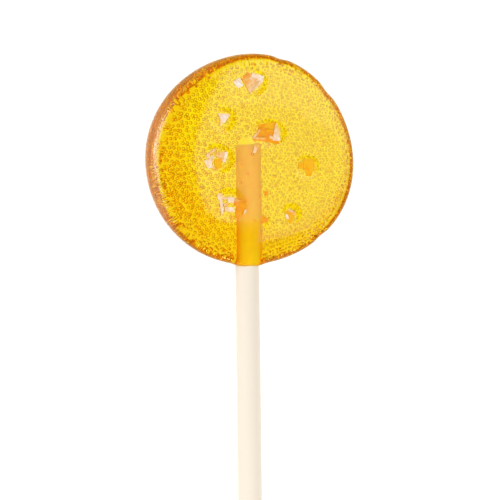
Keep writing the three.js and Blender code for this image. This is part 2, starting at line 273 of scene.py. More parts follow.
class CandySizes(bpy.types.PropertyGroup):
    """Sizes and colours of the candy, its bubbles and its salt flakes."""

    disc_diameter: a_length("Disc Diameter", "Width of the candy disc", 0.0508)
    thickness: a_length("Thickness", "Height of the middle of the face", 0.0082)
    dome: a_length("Dome", "Fall of the face from its middle to its edge", 0.00053)
    face_radius: a_length("Face Radius", "Where the face turns into the wide rounding at the left", 0.0217)
    wide_face_radius: a_length("Wide Face Radius", "Where the face turns into the rim elsewhere", 0.024)
    back_height: a_length("Back Height", "Height of the rounding between the rim and the flat back", 0.0034)
    back_round: a_length("Back Round", "Width of the rounding between the rim and the flat back", 0.005)
    bubble_radius: a_length("Bubble Radius", "Radius of a bubble in the middle", 0.00036)
    bubble_spacing: a_length("Bubble Spacing", "Distance between bubbles in the middle", 0.00088)
    # Painted shade: darkens the bubbles' sides into rings.
    bubble_side_shade_colour: a_colour("Bubble Side Colour", "Tint of the bubbles' sides", (1.0, 0.36, 0.15))
    absorption_colour: a_colour("Honey Colour", "Colour that the candy lets through", (0.99, 0.955, 0.0))
    absorption: a_number("Absorption", "How strongly the candy takes up the other colours, per metre", 600.0)
    skin_colour: a_colour("Skin Colour", "Tint of the candy's skin", (0.965, 0.878, 0.61))
    # Painted shade where the key light's reflection does not fall.
    shaded_skin_colour: a_colour(
        "Deep Skin Colour", "Tint of the skin towards its left and lower edge", (0.956, 0.748, 0.5)
    )
    # Painted reflection of the left softbox in the rim's left strip.
    strip_reflection_colour: a_colour("Strip Colour", "Tint of the pale streaks at the rim's left", (1.0, 0.92, 0.5))
    # Painted shade at the rim's right, along its edge and beside the stick.
    rim_shade_colour: a_colour(
        "Rim Skin Colour", "Tint of the skin at the rim's right and beside the stick", (0.75, 0.55, 0.4)
    )
    # Painted brown shade over the steep rim.
    steep_rim_shade_colour: a_colour("Edge Colour", "Brown that is laid over the steep rim", (0.58, 0.72, 0.8))
    rim_gloss_colour: a_colour("Rim Gloss Colour", "Tint of the rough rim's gloss", (1.0, 0.5, 0.05))
    salt_colour: a_colour("Salt Colour", "Colour of the salt that stands out", (0.95, 0.87, 0.82))
    amber_colour: a_colour("Amber Colour", "Colour of the salt that is soaked in candy", (0.9, 0.29, 0.004))
    gold_colour: a_colour("Gold Colour", "Colour of the flakes under a film of candy", (0.92, 0.47, 0.006))
    honey_salt_colour: a_colour("Honey Salt Colour", "Colour of half soaked salt", (0.88, 0.48, 0.12))


class StickSizes(bpy.types.PropertyGroup):
    """Sizes and colours of the paper stick."""

    diameter: a_length("Diameter", "Thickness of the dry stick", 0.0058)
    length: a_length("Length", "Length of the stick", 0.1524)
    top: a_length("Buried End", "Place of the end inside the candy along Y", 0.0037)
    offset: a_length("Offset", "Place of the stick's axis along X", -0.0008)
    height: a_length("Height", "Height of the stick's axis", 0.004)
    swell: a_number("Swell", "How much thicker the soaked paper is, as a share", 0.07)
    paper_colour: a_colour("Paper Colour", "Colour of the dry paper", (0.87, 0.775, 0.65))
    # Also the colour of the soaked paper's painted glow.
    soaked_glow_colour: a_colour("Soaked Colour", "Colour of the paper inside the candy", (0.98, 0.6, 0.17))
    honey_glow_colour: a_colour("Honey Colour", "Colour of the soaked paper near the rim", (1.0, 0.72, 0.02))
    # Painted shade on the soaked paper's sides near the rim, also the colour of their painted glow.
    side_colour: a_colour(
        "Side Colour", "Colour of the sides of the soaked paper near the rim", (1.0, 0.4, 0.015)
    )


class StageSettings(bpy.types.PropertyGroup):
    """The floor, the lights and the camera."""

    floor_glow: a_number("Floor Glow", "Brightness of the light table under the lollipop", 1.0)
    key_light: a_number("Key Light", "Brightness of the large soft light overhead", 1.25)
    top_light: a_number("Top Light", "Brightness of the small softbox inside the key light", 0.8)
    left_light: a_number("Left Light", "Brightness of the softbox at the left", 2.7)
    core_light: a_number("Core Light", "Brightness of the left softbox's bright core", 11.0)
    wing_light: a_number("Wing Light", "Brightness of the panel beyond the left softbox", 7.0)
    fill_light: a_number("Fill Light", "Brightness of the small lamp beyond the stick's end", 25.0)
    right_light: a_number("Right Light", "Brightness of the low panel at the right", 0.6)
    camera_distance: a_length("Camera Distance", "Distance from the camera to the lollipop", 0.7)


class Wiring:
    """Puts nodes in a tree and joins them. A node is given sockets to join, or plain values."""

    def __init__(self, tree):
        self.tree = tree

    def give(self, node, inputs):
        """Joins or sets a node's inputs, by name or by place."""
        for key, given in inputs.items():
            if isinstance(given, bpy.types.NodeSocket):
                self.tree.links.new(given, node.inputs[key])
            else:
                node.inputs[key].default_value = given
        return node

    def node(self, kind, inputs=None, **options):
        node = self.tree.nodes.new(kind)
        for name, option in options.items():
            setattr(node, name, option)
        return self.give(node, inputs or {})

    def calc(self, operation, *given):
        return self.node("ShaderNodeMath", dict(enumerate(given)), operation=operation).outputs[0]

    def vector(self, operation, *given):
        return self.node("ShaderNodeVectorMath", dict(enumerate(given)), operation=operation).outputs

    def split(self, vector):
        return self.node("ShaderNodeSeparateXYZ", {0: vector}).outputs

    def join(self, x, y, z):
        return self.node("ShaderNodeCombineXYZ", {0: x, 1: y, 2: z}).outputs[0]

    def share(self, given, start, stop, low=0.0, high=1.0):
        """A value's place between two marks, laid out between low and high."""
        marks = {"Value": given, "From Min": start, "From Max": stop, "To Min": low, "To Max": high}
        return self.node("ShaderNodeMapRange", marks).outputs[0]

    def mix(self, factor, first, second, blend_type="MIX"):
        inputs = {0: factor, 6: first, 7: second}
        return self.node("ShaderNodeMix", inputs, data_type="RGBA", blend_type=blend_type).outputs[2]

    def noise(self, place, scale, detail):
        inputs = {"Vector": place, "Scale": scale, "Detail": detail}
        return self.node("ShaderNodeTexNoise", inputs).outputs["Fac"]

    def bump(self, height, strength, distance, **more):
        inputs = {"Height": height, "Strength": strength, "Distance": distance, **more}
        return self.node("ShaderNodeBump", inputs).outputs["Normal"]

    def object_place(self):
        return self.node("ShaderNodeTexCoord").outputs["Object"]

    def levelness(self):
        """The upward part of the surface's normal, from 0 on an upright wall to 1 on a level face."""
        normal = self.node("ShaderNodeNewGeometry").outputs["Normal"]
        return self.calc("ABSOLUTE", self.split(normal)[2])


def draw(seed, step):
    """A repeatable draw from -1 to 1."""
    wave = math.sin(seed * 12.9898 + step * 78.233) * 43758.5453
    return 2 * (wave - math.floor(wave)) - 1


def blend(first, second, share):
    return first + (second - first) * share


def smooth_step(value):
    value = min(max(value, 0.0), 1.0)
    return value * value * (3 - 2 * value)


def new_object(name, data):
    obj = bpy.data.objects.new(name, data)
    bpy.context.scene.collection.objects.link(obj)
    return obj


def mesh_from(name, points, faces):
    mesh = bpy.data.meshes.new(name)
    mesh.from_pydata([tuple(p) for p in points], [], faces)
    mesh.update()
    return mesh


def rings_mesh(name, first, rings, last):
    """A closed skin over rings of points, with a point at each end."""
    around = len(rings[0])
    points = [first, *(p for ring in rings for p in ring), last]
    faces = []
    for k in range(around):
        n = (k + 1) % around
        faces.append((0, 1 + n, 1 + k))
        for j in range(len(rings) - 1):
            a = 1 + j * around
            b = a + around
            faces.append((a + k, a + n, b + n, b + k))
        a = 1 + (len(rings) - 1) * around
        faces.append((a + k, a + n, len(points) - 1))
    mesh = mesh_from(name, points, faces)
    bm = bmesh.new()
    bm.from_mesh(mesh)
    bmesh.ops.recalc_face_normals(bm, faces=bm.faces[:])
    bm.to_mesh(mesh)
    bm.free()
    return mesh


def evaluated_mesh(obj):
    return bpy.data.meshes.new_from_object(obj.evaluated_get(bpy.context.evaluated_depsgraph_get()))


def shade_smooth(mesh, sharp_degrees):
    mesh.polygons.foreach_set("use_smooth", [True] * len(mesh.polygons))
    mesh.set_sharp_from_angle(angle=math.radians(sharp_degrees))


def finish_piece(obj, slot, *nodes):
    """The piece rides on the one body and stands for its CAD nodes."""
    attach(obj, "root")
    if nodes:
        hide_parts(*nodes)


def new_material(name):
    """A material, the wiring of its nodes, and its surface node."""
    mat = bpy.data.materials.new(name)
    mat.use_nodes = True
    return mat, Wiring(mat.node_tree), mat.node_tree.nodes["Principled BSDF"]


def degrees_away(angle, place):
    """How far an angle is from a place on the rim, in degrees from -180 to 180."""
    return (math.degrees(angle) - place + 180) % 360 - 180


def outline_radius(angle, diameter):
    """The disc's outline at an angle, in metres."""
    radius = diameter / 2
    for count, height, crest in OUTLINE_WAVES:
        radius += height * MM * math.cos(count * (angle - math.radians(crest)))
    for place, depth, spread in OUTLINE_NICKS:
        radius -= depth * MM * math.exp(-((degrees_away(angle, place) / spread) ** 2))
    return radius


def face_height(radius, candy):
    """The smooth face's height at a distance from the disc's axis."""
    return candy.thickness - candy.dome * (radius / candy.face_radius) ** 4


def face_dip(x, y):
    """How far the face dips around the flakes, where the candy wetted their sides."""
    dip = 0.0
    for middle_x, middle_y, half_x, half_y in DIPS:
        away = math.hypot((x / MM - middle_x) / half_x, (y / MM - middle_y) / half_y) - 1
        away *= (half_x + half_y) / 2
        dip = max(dip, math.exp(-((max(away, 0.0) / DIP_FADE) ** 2)))
    return dip * DIP_DEPTH * MM


def stretch_share(angle, place, spread):
    """How far an angle lies within a stretch of the rim, from 0 to 1."""
    return math.exp(-((degrees_away(angle, place) / spread) ** 4))


def rim_sizes(candy, angle, near_stick):
    """The rim's sizes: face edge, slope there, front bend, its lowest height, and the back's three."""
    radius = candy.disc_diameter / 2
    slant = stretch_share(angle, *SLANT)
    edge = blend(candy.wide_face_radius, candy.face_radius, stretch_share(angle, *WIDE_FRONT))
    edge = blend(edge, radius - COLLAR_FRONT, near_stick)
    slope = math.atan(4 * candy.dome * edge**3 / candy.face_radius**4)
    bend = (radius - edge) / (1 - math.sin(slope))
    side_top = face_height(edge, candy) - bend * math.cos(slope)
    width = blend(blend(candy.back_round, SLANT_WIDTH * MM, slant), COLLAR_BACK, near_stick)
    height = blend(candy.back_height, COLLAR_BACK, near_stick)
    return edge, slope, bend, side_top, width, height, blend(BACK_FULLNESS, SLANT_FULLNESS, slant)


def disc_profile(candy, angle, near_stick):
    """Radius and height from the back's middle to the face's middle, without the two end points."""
    radius = candy.disc_diameter / 2
    edge, slope, bend, side_top, width, height, fullness = rim_sizes(candy, angle, near_stick)
    rows = []
    for i in range(1, BACK_ROWS + 1):
        rows.append(((radius - width) * i / BACK_ROWS, 0.0))
    for i in range(1, ROUND_ROWS + 1):
        turn = i / ROUND_ROWS * math.pi / 2
        out, up = math.sin(turn) ** fullness, max(math.cos(turn), 0.0) ** fullness
        rows.append((radius - width * (1 - out), height * (1 - up)))
    for i in range(1, SIDE_ROWS):
        rows.append((radius, blend(height, side_top, i / SIDE_ROWS)))
    for i in range(BEND_ROWS + 1):
        turn = blend(math.pi / 2, slope, i / BEND_ROWS)
        rows.append((
            edge + bend * (math.sin(turn) - math.sin(slope)),
            face_height(edge, candy) - bend * (math.cos(slope) - math.cos(turn)),
        ))
    for i in range(1, FACE_ROWS):
        inward = edge * (1 - i / FACE_ROWS)
        rows.append((inward, face_height(inward, candy)))
    return rows


def candy_mesh(candy, stick):
    """The candy disc as one closed skin, before the stick's pocket is cut."""
    base = candy.disc_diameter / 2
    columns = []
    for k in range(CANDY_COLUMNS):
        angle = 2 * math.pi * k / CANDY_COLUMNS
        edge = outline_radius(angle, candy.disc_diameter)
        away = (edge * math.cos(angle) - stick.offset) / COLLAR_WIDTH
        beside = math.exp(-(away**4)) if math.sin(angle) < 0 else 0.0
        columns.append((angle, (edge + COLLAR_REACH * beside) / base, disc_profile(candy, angle, beside)))
    rings = []
    for j in range(len(columns[0][2])):
        ring = []
        for angle, share, profile in columns:
            r, z = profile[j]
            x, y = r * share * math.cos(angle), r * share * math.sin(angle)
            if z > candy.thickness * DIP_ABOVE:
                z -= face_dip(x, y)
            ring.append((x, y, z))
        rings.append(ring)
    return rings_mesh("candy_disc", (0.0, 0.0, 0.0), rings, (0.0, 0.0, candy.thickness))


def stick_place(y, stick):
    """The stick's axis along X and its radius at a place along Y: the soaked part is thicker and leans."""
    soaked = smooth_step((y / MM - SOAK_START) / SOAK_LENGTH)
    return stick.offset + SOAK_LEAN * soaked, stick.diameter / 2 * (1 + stick.swell * soaked)


def stick_mesh(name, stick, places, low, high, shrink=0.0, lap=0.0):
    """A closed skin along the stick from one end to the other, with the step of the paper's outer lap."""
    rings = []
    for y, share in places:
        axis, radius = stick_place(y, stick)
        ring = []
        for k in range(STICK_AROUND):
            turn = 2 * math.pi * k / STICK_AROUND
            r = (radius - shrink - lap * ((k / STICK_AROUND + LAP_PLACE) % 1.0)) * share
            ring.append((axis + r * math.sin(turn), y, stick.height + r * math.cos(turn)))
        rings.append(ring)
    first, last = [(stick_place(y, stick)[0], y, stick.height) for y in (low, high)]
    return rings_mesh(name, first, rings, last)


def cut_pocket(obj, stick):
    """Cuts the stick's pocket, a hair narrower than the stick so that no air shows between them."""
    high = stick.top - POCKET_INSET
    places = [(blend(POCKET_FOOT, high, i / POCKET_RINGS), 1.0) for i in range(POCKET_RINGS + 1)]
    mesh = stick_mesh("pocket", stick, places, POCKET_FOOT, high, shrink=POCKET_INSET)
    tool = new_object("pocket", mesh)
    cut = obj.modifiers.new("pocket", "BOOLEAN")
    cut.operation = "DIFFERENCE"
    cut.solver = "EXACT"
    cut.object = tool
    made = evaluated_mesh(obj)
    obj.modifiers.clear()
    obj.data = made
    bpy.data.objects.remove(tool)


def candy_material(candy, stick):
    """Clear candy that takes up blue, with a skin whose gloss changes from place to place and whose tint
    carries painted shade and a painted reflection.
    """
    mat, wire, surface = new_material("honey_candy")
    calc, share, mix = wire.calc, wire.share, wire.mix
    place = wire.object_place()
    x, y, z = wire.split(place)
    flat = wire.vector("MULTIPLY", place, (1, 1, 0))[0]
    radius = wire.vector("LENGTH", flat)["Value"]
    not_left = share(x, *NOT_LEFT_X)
    strip = calc("MULTIPLY", share(x, *STRIP_X), share(radius, *STRIP_RADIUS))

    # Fine ripples all over, and crinkles that run up the rim and are strongest in the left strip.
    ripples = wire.noise(place, scale=260.0, detail=2.0)
    ripples = wire.bump(ripples, strength=0.02, distance=0.0004)
    crinkle = wire.noise(wire.vector("NORMALIZE", flat)[0], scale=48.0, detail=0.0)
    streak = share(crinkle, *STREAK_NOISE)
    rough = calc("MULTIPLY", share(radius, *ROUGH_RADIUS), 0.35)
    hatch = calc("ADD", rough, calc("MULTIPLY", strip, 0.5))
    gloss = mix(calc("MULTIPLY", share(radius, *GLOSS_RADIUS), not_left), WHITE, candy.rim_gloss_colour)

    # The skin has painted shade away from the spot where the key light's reflection lies, and a painted
    # reflection of the left softbox in pale streaks in the left strip.
    deep = share(wire.vector("DISTANCE", flat, LIT_SPOT)["Value"], *SHADE_DISTANCE)
    deep = calc("MULTIPLY", deep, calc("SUBTRACT", 1.0, strip))
    skin = mix(deep, candy.skin_colour, candy.shaded_skin_colour)
    # Painted reflection, in streaks, in the left strip.
    skin = mix(calc("MULTIPLY", strip, calc("ADD", 0.3, streak)), skin, candy.strip_reflection_colour)

    # It has painted shade at the rim's right and along its edge, in streaks, and in the left strip's arc.
    right = calc("MULTIPLY", share(x, *RIGHT_X), calc("POWER", share(radius, *RIGHT_RADIUS), 1.6))
    line = calc("MULTIPLY", calc("MULTIPLY", not_left, 0.4), share(radius, *LINE_RADIUS))
    rim_shade = calc("MULTIPLY", calc("MAXIMUM", right, line), calc("ADD", 0.5, streak))
    from_arc = calc("SUBTRACT", wire.vector("DISTANCE", flat, ARC_MIDDLE)["Value"], ARC_RADIUS)
    arc = calc("MULTIPLY", share(calc("ABSOLUTE", from_arc), *ARC_ACROSS), share(z, *ARC_Z))
    rim_shade = calc("MAXIMUM", rim_shade, calc("MULTIPLY", arc, share(x, *ARC_X)))

    # It has painted shade beside the stick too, and a painted brown shade where the rim is steep.
    from_axis = calc("ABSOLUTE", calc("SUBTRACT", x, stick.offset))
    beside = share(calc("ABSOLUTE", calc("SUBTRACT", from_axis, BESIDE_STICK)), *BESIDE_ACROSS)
    rim_shade = calc("MAXIMUM", rim_shade, calc("MULTIPLY", beside, share(y, *BESIDE_Y)))
    skin = mix(rim_shade, skin, candy.rim_shade_colour)
    # Painted brown shade where the rim is steep.
    steep = calc("MULTIPLY", share(z, *STEEP_Z), not_left)
    steep = calc("MULTIPLY", share(wire.levelness(), *STEEP_NORMAL), steep)
    steep = calc("MULTIPLY", steep, share(radius, *STEEP_RADIUS))

    wire.give(surface, {
        "Base Color": mix(steep, skin, candy.steep_rim_shade_colour, "MULTIPLY"),
        "Roughness": calc("ADD", 0.06, calc("MULTIPLY", strip, 0.06)),
        "IOR": CANDY_IOR,
        "Transmission Weight": 1.0,
        "Specular Tint": gloss,
        "Coat Weight": calc("MULTIPLY", strip, share(z, *STRIP_GLOSS_Z)),
        "Coat Roughness": 0.16,
        "Normal": wire.bump(crinkle, strength=hatch, distance=0.0004, Normal=ripples),
    })
    absorbed = {"Color": candy.absorption_colour, "Density": candy.absorption}
    absorb = wire.node("ShaderNodeVolumeAbsorption", absorbed)
    wire.give(mat.node_tree.nodes["Material Output"], {"Volume": absorb.outputs["Volume"]})
    return mat


class LOLLIPOP_OT_candy_disc(bpy.types.Operator):
    """Build the clear candy disc with the pocket for the stick"""

    bl_idname = "lollipop.candy_disc"
    bl_label = "Candy Disc"

    def execute(self, context):
        candy, stick = context.scene.lollipop_candy, context.scene.lollipop_stick
        obj = new_object("candy_disc", candy_mesh(candy, stick))
        cut_pocket(obj, stick)
        obj.data.name = "candy_disc"
        shade_smooth(obj.data, 40)
        obj.data.materials.clear()
        obj.data.materials.append(candy_material(candy, stick))
        finish_piece(obj, "candy", "candy")
        return {"FINISHED"}


def bubble_tree():
    """Scatters bubbles over the back and up the rounded side, finer towards +X and clear of the stick."""
    tree = bpy.data.node_groups.new("bubble_scatter", "GeometryNodeTree")
    wire = Wiring(tree)
    calc = wire.calc
    kinds = {"Geometry": "NodeSocketGeometry", **dict.fromkeys(BUBBLE_INPUTS, "NodeSocketFloat")}
    kinds.update({"Seed": "NodeSocketInt", "Bubble Material": "NodeSocketMaterial"})
    for name, kind in kinds.items():
        tree.interface.new_socket(name, in_out="INPUT", socket_type=kind)
    tree.interface.new_socket("Geometry", in_out="OUTPUT", socket_type="NodeSocketGeometry")
    value = {s.name: s for s in wire.node("NodeGroupInput").outputs}

    def place():
        return wire.split(wire.node("GeometryNodeInputPosition").outputs[0])

    def squares(first, *others):
        """The sum of the squares of some lengths."""
        total = calc("MULTIPLY", first, first)
        for other in others:
            total = calc("ADD", total, calc("MULTIPLY", other, other))
        return total

    def random_value(low, high, step):
        inputs = {2: low, 3: high, "Seed": calc("ADD", value["Seed"], step)}
        return wire.node("FunctionNodeRandomValue", inputs, data_type="FLOAT").outputs[1]

    def moved(geometry, spot):
        inputs = {"Geometry": geometry, "Position": spot}
        return wire.node("GeometryNodeSetPosition", inputs).outputs["Geometry"]

    def without(geometry, selection):
        inputs = {"Geometry": geometry, "Selection": selection}
        return wire.node("GeometryNodeDeleteGeometry", inputs, domain="POINT").outputs["Geometry"]

    # The back and the rounded side laid out flat, as one round sheet.
    mean_round = calc("MULTIPLY", calc("ADD", value["Round Width"], value["Round Height"]), 0.5)
    reach = calc("MULTIPLY", calc("MULTIPLY", mean_round, math.pi / 2), value["Cover"])
    sheet = calc("ADD", value["Flat Radius"], reach)
    side = calc("MULTIPLY", sheet, 2.0)
    columns = calc("FLOOR", calc("DIVIDE", side, value["Spacing"]))
    rows = calc("FLOOR", calc("DIVIDE", side, calc("MULTIPLY", value["Spacing"], math.sqrt(0.75))))
    grid = wire.node("GeometryNodeMeshGrid", {
        "Size X": side, "Size Y": side,
        "Vertices X": calc("ADD", columns, 1.0), "Vertices Y": calc("ADD", rows, 1.0),
    })
    # Every other row is set half a step aside, and each point strays a little.
    x, y, z = place()
    row = calc("ROUND", calc("DIVIDE", calc("MULTIPLY", calc("ADD", y, sheet), rows), side))
    aside = calc("SUBTRACT", calc("MODULO", row, 2.0), 0.5)
    aside = calc("MULTIPLY", aside, calc("MULTIPLY", value["Spacing"], 0.5))
    stray = calc("MULTIPLY", value["Spacing"], value["Jitter"])
    x = calc("ADD", calc("ADD", x, aside), calc("MULTIPLY", random_value(-1.0, 1.0, 21), stray))
    y = calc("ADD", y, calc("MULTIPLY", random_value(-1.0, 1.0, 22), stray))
    points = moved(grid.outputs["Mesh"], wire.join(x, y, z))
    x, y, z = place()
    points = without(points, calc("GREATER_THAN", calc("SQRT", squares(x, y)), sheet))

    # The sheet is drawn together towards +X without bending its edge, so that bubbles there are finer.
    x, y, z = place()
    u = calc("DIVIDE", x, sheet)
    v = calc("DIVIDE", y, sheet)
    drift = value["Drift"]
    along = calc("ADD", 1.0, calc("MULTIPLY", drift, u))
    across = calc("MULTIPLY", drift, v)
    whole = squares(along, across)
    scale = calc("DIVIDE", calc("SUBTRACT", 1.0, calc("MULTIPLY", drift, drift)), whole)
    shifted = calc("MULTIPLY", calc("ADD", u, drift), along)
    new_u = calc("DIVIDE", calc("ADD", shifted, calc("MULTIPLY", across, v)), whole)
    new_v = calc("MULTIPLY", v, scale)
    away = calc("MAXIMUM", calc("SQRT", squares(new_u, new_v)), 1e-6)

    # The sheet is folded up around the rounded side.
    flat = calc("MULTIPLY", away, sheet)
    past_flat = calc("MAXIMUM", calc("SUBTRACT", flat, value["Flat Radius"]), 0.0)
    turn = calc("DIVIDE", past_flat, mean_round)
    out = calc("MULTIPLY", value["Round Width"], calc("POWER", calc("SINE", turn), value["Fullness"]))
    out = calc("ADD", calc("MINIMUM", flat, value["Flat Radius"]), out)
    fall = calc("POWER", calc("MAXIMUM", calc("COSINE", turn), 0.0), value["Fullness"])
    up = calc("MULTIPLY", value["Round Height"], calc("SUBTRACT", 1.0, fall))
    rise = calc("MULTIPLY", calc("POWER", random_value(0.0, 1.0, 11), 2.0), value["Layer Depth"])
    up = calc("ADD", calc("ADD", up, rise), value["Layer Height"])
    stretch = calc("DIVIDE", out, away)
    size_share = calc("MULTIPLY", calc("SUBTRACT", scale, 1.0), value["Size Drift"])
    keep = {"Geometry": points, "Name": "bubble_scale", "Value": calc("ADD", 1.0, size_share)}
    keep = wire.node("GeometryNodeStoreNamedAttribute", keep, data_type="FLOAT", domain="POINT")
    spot = wire.join(calc("MULTIPLY", new_u, stretch), calc("MULTIPLY", new_v, stretch), up)
    spin = {"Vector": spot, "Angle": value["Turn"]}
    spin = wire.node("ShaderNodeVectorRotate", spin, rotation_type="Z_AXIS")
    points = moved(keep.outputs["Geometry"], spin.outputs[0])

    # Bubbles too near the stick or in the slanted edge are left out.
    x, y, z = place()
    side = calc("SUBTRACT", x, value["Stick X"])
    beyond = calc("MAXIMUM", calc("SUBTRACT", y, value["Stick Top"]), 0.0)
    over = calc("SUBTRACT", z, value["Stick Height"])
    near = calc("LESS_THAN", calc("SQRT", squares(side, over, beyond)), value["Stick Clear"])
    off = squares(calc("SUBTRACT", x, value["Middle X"]), calc("SUBTRACT", y, value["Middle Y"]))
    outside = calc("GREATER_THAN", calc("SQRT", off), value["Reach"])
    points = without(points, calc("MAXIMUM", near, outside))

    # A ball is put at each point, flatter where the bubbles are large.
    ball = wire.node("GeometryNodeMeshUVSphere", {"Segments": 6, "Rings": 4, "Radius": 1.0})
    smooth = wire.node("GeometryNodeSetShadeSmooth", {"Geometry": ball.outputs["Mesh"]})
    kept = wire.node("GeometryNodeInputNamedAttribute", {"Name": "bubble_scale"}, data_type="FLOAT")
    kept = kept.outputs["Attribute"]
    size = calc("MULTIPLY", random_value(0.85, 1.1, 5), kept)
    girth = calc("MULTIPLY", size, value["Bubble Radius"])
    round_share = calc("DIVIDE", value["Flatness"], calc("SQRT", calc("MINIMUM", kept, 1.0)))
    put = wire.node("GeometryNodeInstanceOnPoints", {
        "Points": points, "Instance": smooth.outputs["Geometry"],
        "Scale": wire.join(girth, girth, calc("MULTIPLY", girth, round_share)),
    })
    real = wire.node("GeometryNodeRealizeInstances", {"Geometry": put.outputs["Instances"]})
    paint = {"Geometry": real.outputs["Geometry"], "Material": value["Bubble Material"]}
    paint = wire.node("GeometryNodeSetMaterial", paint)
    wire.node("NodeGroupOutput", {"Geometry": paint.outputs["Geometry"]})
    return tree


def scattered(tree, values):
    """The mesh that a scatter tree makes from its named inputs."""
    obj = new_object("scatter", bpy.data.meshes.new("scatter"))
    modifier = obj.modifiers.new("scatter", "NODES")
    modifier.node_group = tree
    names = {s.name: s.identifier for s in tree.interface.items_tree if s.in_out == "INPUT"}
    for name, value in values.items():
        modifier[names[name]] = value
    made = evaluated_mesh(obj)
    bpy.data.objects.remove(obj)
    return made


def bubble_material(candy):
    """Clear air whose skin has painted shade towards the sides of each bubble."""
    mat, wire, surface = new_material("air_in_candy")
    left = wire.share(wire.split(wire.object_place())[0], *SIDE_LEFT_X, low=0.7)
    # Painted shade on the bubbles' sides, stronger towards the left.
    ring_shade = wire.calc("MULTIPLY", wire.share(wire.levelness(), *SIDE_NORMAL), left)
    wire.give(surface, {
        "Base Color": wire.mix(ring_shade, WHITE, candy.bubble_side_shade_colour),
        "Roughness": 0.0,
        "IOR": 1 / CANDY_IOR,
        "Transmission Weight": 1.0,
    })
    return mat


class LOLLIPOP_OT_bubbles(bpy.types.Operator):
    """Scatter the air bubbles inside the candy"""

    bl_idname = "lollipop.bubbles"
    bl_label = "Air Bubbles"

    def execute(self, context):
        candy, stick = context.scene.lollipop_candy, context.scene.lollipop_stick
        tree = bubble_tree()
        air = bubble_material(candy)
        inset = candy.bubble_radius * 2.2
        axis, radius = stick_place(0.0, stick)
        # The many bubbles over the back.
        values = {
            "Flat Radius": candy.disc_diameter / 2 - candy.back_round,
            "Round Width": candy.back_round - inset,
            "Round Height": candy.back_height - inset,
            "Fullness": BACK_FULLNESS, "Cover": 0.8, "Spacing": candy.bubble_spacing, "Jitter": 0.24,
            "Bubble Radius": candy.bubble_radius, "Layer Height": inset, "Layer Depth": 0.0004,
            "Drift": 0.2, "Size Drift": 1.0, "Turn": 0.0, "Flatness": 0.59,
            "Middle X": 0.00303, "Middle Y": -0.00175, "Reach": 0.025,
            "Stick X": axis, "Stick Top": stick.top, "Stick Height": stick.height,
            "Stick Clear": radius + candy.bubble_radius * 1.4, "Seed": 3, "Bubble Material": air,
        }
        back = scattered(tree, values)
        # The few at all depths, mostly at the left.
        values.update({
            "Flat Radius": 0.0215, "Round Width": 0.0001, "Round Height": 0.0001, "Spacing": 0.0034,
            "Jitter": 0.5, "Bubble Radius": 0.00044, "Layer Height": 0.0024, "Layer Depth": 0.004,
            "Drift": -0.62, "Size Drift": 0.0, "Turn": 0.4, "Seed": 8,
        })
        left = scattered(tree, values)
        # The few just under the face, also in front of the stick.
        values.update({
            "Flat Radius": 0.0165, "Spacing": 0.0046, "Layer Height": 0.0074, "Layer Depth": 0.0001,
            "Drift": 0.0, "Bubble Radius": 0.0004, "Stick Clear": radius, "Seed": 12,
        })
        front = scattered(tree, values)
        bm = bmesh.new()
        for layer in (back, left, front):
            bm.from_mesh(layer)
        mesh = bpy.data.meshes.new("air_bubbles")
        bm.to_mesh(mesh)
        bm.free()
        mesh.materials.append(air)
        finish_piece(new_object("air_bubbles", mesh), "candy")
        return {"FINISHED"}


def salt_material(candy):
    """Cloudy salt, coloured by how far it is soaked in candy."""
    mat, wire, surface = new_material("salt")
    tone = wire.node("ShaderNodeAttribute", attribute_name="tone").outputs["Fac"]
    cloud = wire.noise(wire.object_place(), scale=1500.0, detail=3.0)
    soaked = wire.calc("SUBTRACT", wire.calc("MULTIPLY_ADD", cloud, 0.9, tone), 0.45)
    ramp = wire.node("ShaderNodeValToRGB", {"Fac": soaked})
    stops = ramp.color_ramp.elements
    stops[0].color = candy.salt_colour
    stops[1].color = candy.gold_colour
    stops.new(0.5).color = candy.honey_salt_colour
    stops.new(0.75).color = candy.amber_colour
    wire.give(surface, {
        "Base Color": ramp.outputs["Color"],
        "Roughness": 0.35,
        "IOR": 1.54,
        "Specular IOR Level": 0.15,
        "Normal": wire.bump(cloud, strength=0.4, distance=0.0001),
    })
    return mat


def shard_points(shard, candy, seed):
    """The eight corners of a shard, first the top ones and then the foot."""
    middle = Vector((shard.x, shard.y, face_height(math.hypot(shard.x, shard.y) * MM, candy) / MM))
    spin = Matrix.Rotation(math.radians(shard.turn), 3, "Z")
    ends = ((-0.5, shard.width, shard.rise), (0.5, shard.end_width, shard.end_rise))
    points = []
    for foot in (False, True):
        for along, wide, high in ends:
            for side in (-0.5, 0.5):
                step = len(points) % 4
                crook = Vector([size * draw(seed, step + 10 * i) for i, size in enumerate(SHARD_CROOK)])
                corner = Vector((shard.length * along, wide * side, -SHARD_FOOT if foot else high))
                points.append((spin @ corner + crook + middle) * MM)
    return points


